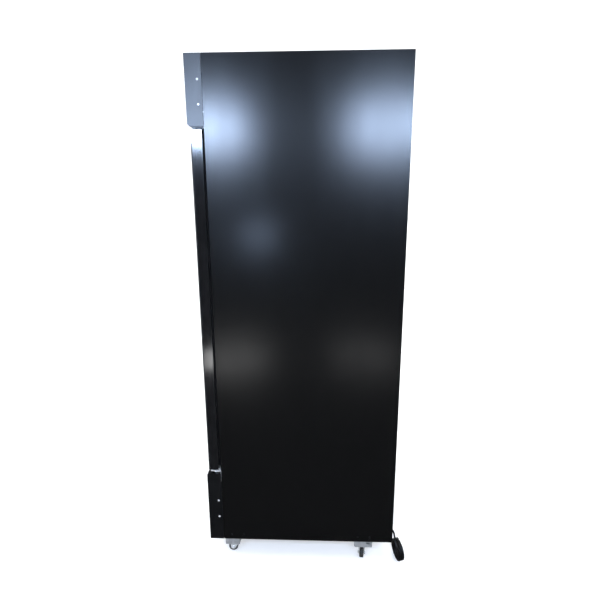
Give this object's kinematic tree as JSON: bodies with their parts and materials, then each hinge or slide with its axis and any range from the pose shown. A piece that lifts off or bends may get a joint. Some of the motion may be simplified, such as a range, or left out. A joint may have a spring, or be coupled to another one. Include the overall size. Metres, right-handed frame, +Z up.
{
  "type": "reach in refrigerator",
  "caption": "Upright reach-in refrigerator on casters: hinged glass door, wire shelves, lit header, lower grille over a machine bay, and a coiled supply cord at the back.",
  "frame": {"origin": "on the floor under the middle of the cabinet, measured without the cord", "axes": "+Z up, -Y towards the front with the door, +X towards the hinge side"},
  "size_m": [0.71, 0.8177, 1.981],
  "materials": {
    "black_paint": "satin",
    "black_plastic": "matt",
    "galvanised": "satin",
    "foam": "matt",
    "white_coating": "satin",
    "bare_aluminium": "satin",
    "black_frame": "gloss",
    "spacer_bar": "matt",
    "clear_glass": "gloss",
    "black_rubber": "matt",
    "white_plastic": "gloss",
    "grey_plastic": "matt",
    "copper": "satin"
  },
  "bodies": {
    "cabinet": {"side_panel_right": "black_paint", "side_panel_left": "black_paint", "top_panel": "black_paint", "back_panel": "galvanised", "header_frame": "black_paint", "lower_grille": "black_paint", "facia_brackets": "black_paint", "sign_panel": "white_plastic", "header_lamp": "white_plastic", "base_pan": "galvanised", "rear_cover": "galvanised", "insulation": "foam", "liner": "white_coating", "front_frame": "black_plastic", "shelf_supports": "white_coating", "shelves": "white_coating", "evaporator_housing": "white_coating", "evaporator_coil": "bare_aluminium", "interior_lamp": "white_plastic", "hinge_brackets": "galvanised", "control_housing": "black_plastic", "compressor": "black_frame", "compressor_mounts": "black_rubber", "junction_boxes": "black_plastic", "condenser_coil": "bare_aluminium", "fan_shroud": "black_plastic", "fan_motors": "black_plastic", "drain_pan": "grey_plastic", "refrigerant_lines": "copper", "caster_brackets": "galvanised", "strain_relief": "black_plastic", "power_cord": "black_rubber", "power_cord_coil": "black_rubber", "cord_tie": "white_plastic", "power_plug": "black_plastic", "screws": "galvanised"},
    "door": {"door_hinge_stile": "black_frame", "door_handle_stile": "black_frame", "door_rails": "black_frame", "door_outer_glass": "clear_glass", "door_glass_spacer": "spacer_bar", "door_inner_glass": "clear_glass", "door_gasket": "black_rubber", "door_bushes": "black_plastic"},
    "evaporator_fan": {"evaporator_fan": "black_plastic"},
    "condenser_fan": {"condenser_fan": "black_plastic"},
    "caster_fork_front_left": {"caster_fork_front_left": "galvanised"},
    "caster_wheel_front_left": {"caster_wheel_front_left": "black_rubber"},
    "brake_pedal_front_left": {"brake_pedal_front_left": "galvanised"},
    "caster_fork_front_right": {"caster_fork_front_right": "galvanised"},
    "caster_wheel_front_right": {"caster_wheel_front_right": "black_rubber"},
    "brake_pedal_front_right": {"brake_pedal_front_right": "galvanised"},
    "caster_fork_rear_left": {"caster_fork_rear_left": "galvanised"},
    "caster_wheel_rear_left": {"caster_wheel_rear_left": "black_rubber"},
    "caster_fork_rear_right": {"caster_fork_rear_right": "galvanised"},
    "caster_wheel_rear_right": {"caster_wheel_rear_right": "black_rubber"},
    "button_set": {"button_set": "black_plastic"},
    "button_up": {"button_up": "black_plastic"},
    "button_down": {"button_down": "black_plastic"},
    "lamp_rocker": {"lamp_rocker": "black_plastic"}
  },
  "joints": [
    {"name": "door_hinge", "type": "hinge", "parent": "cabinet", "child": "door", "pos_m": [0.331, -0.354, 0.428], "axis": [0, 0, 1], "range_deg": [0, 110], "stiffness_Nm_per_rad": 2, "springref_deg": -28.65},
    {"name": "evaporator_fan_spin", "type": "hinge", "parent": "cabinet", "child": "evaporator_fan", "pos_m": [0, -0.09, 1.751], "axis": [0, 0, 1], "continuous": true},
    {"name": "condenser_fan_spin", "type": "hinge", "parent": "cabinet", "child": "condenser_fan", "pos_m": [-0.06, -0.195, 0.227], "axis": [0, 1, 0], "continuous": true},
    {"name": "swivel_front_left", "type": "hinge", "parent": "cabinet", "child": "caster_fork_front_left", "pos_m": [-0.287, -0.283, 0.057], "axis": [0, 0, 1], "continuous": true},
    {"name": "roll_front_left", "type": "hinge", "parent": "caster_fork_front_left", "child": "caster_wheel_front_left", "pos_m": [-0.287, -0.297, 0.02], "axis": [1, 0, 0], "continuous": true},
    {"name": "brake_front_left", "type": "hinge", "parent": "caster_fork_front_left", "child": "brake_pedal_front_left", "pos_m": [-0.287, -0.307, 0.045], "axis": [1, 0, 0], "range_deg": [0, 16]},
    {"name": "swivel_front_right", "type": "hinge", "parent": "cabinet", "child": "caster_fork_front_right", "pos_m": [0.287, -0.283, 0.057], "axis": [0, 0, 1], "continuous": true},
    {"name": "roll_front_right", "type": "hinge", "parent": "caster_fork_front_right", "child": "caster_wheel_front_right", "pos_m": [0.287, -0.297, 0.02], "axis": [1, 0, 0], "continuous": true},
    {"name": "brake_front_right", "type": "hinge", "parent": "caster_fork_front_right", "child": "brake_pedal_front_right", "pos_m": [0.287, -0.307, 0.045], "axis": [1, 0, 0], "range_deg": [0, 16]},
    {"name": "swivel_rear_left", "type": "hinge", "parent": "cabinet", "child": "caster_fork_rear_left", "pos_m": [-0.296, 0.2625, 0.057], "axis": [0, 0, 1], "continuous": true},
    {"name": "roll_rear_left", "type": "hinge", "parent": "caster_fork_rear_left", "child": "caster_wheel_rear_left", "pos_m": [-0.30979, 0.26007, 0.02], "axis": [0.1736, -0.9848, 0], "continuous": true},
    {"name": "swivel_rear_right", "type": "hinge", "parent": "cabinet", "child": "caster_fork_rear_right", "pos_m": [0.296, 0.2625, 0.057], "axis": [0, 0, 1], "continuous": true},
    {"name": "roll_rear_right", "type": "hinge", "parent": "caster_fork_rear_right", "child": "caster_wheel_rear_right", "pos_m": [0.30979, 0.26007, 0.02], "axis": [0.1736, 0.9848, 0], "continuous": true},
    {"name": "press_button_set", "type": "slide", "parent": "cabinet", "child": "button_set", "axis": [0, 1, 0], "range_m": [0, 0.001], "stiffness_N_per_m": 300},
    {"name": "press_button_up", "type": "slide", "parent": "cabinet", "child": "button_up", "axis": [0, 1, 0], "range_m": [0, 0.001], "stiffness_N_per_m": 300},
    {"name": "press_button_down", "type": "slide", "parent": "cabinet", "child": "button_down", "axis": [0, 1, 0], "range_m": [0, 0.001], "stiffness_N_per_m": 300},
    {"name": "lamp_rocker_tilt", "type": "hinge", "parent": "cabinet", "child": "lamp_rocker", "pos_m": [0.274, -0.374, 0.368], "axis": [1, 0, 0], "range_deg": [-14, 0]}
  ]
}
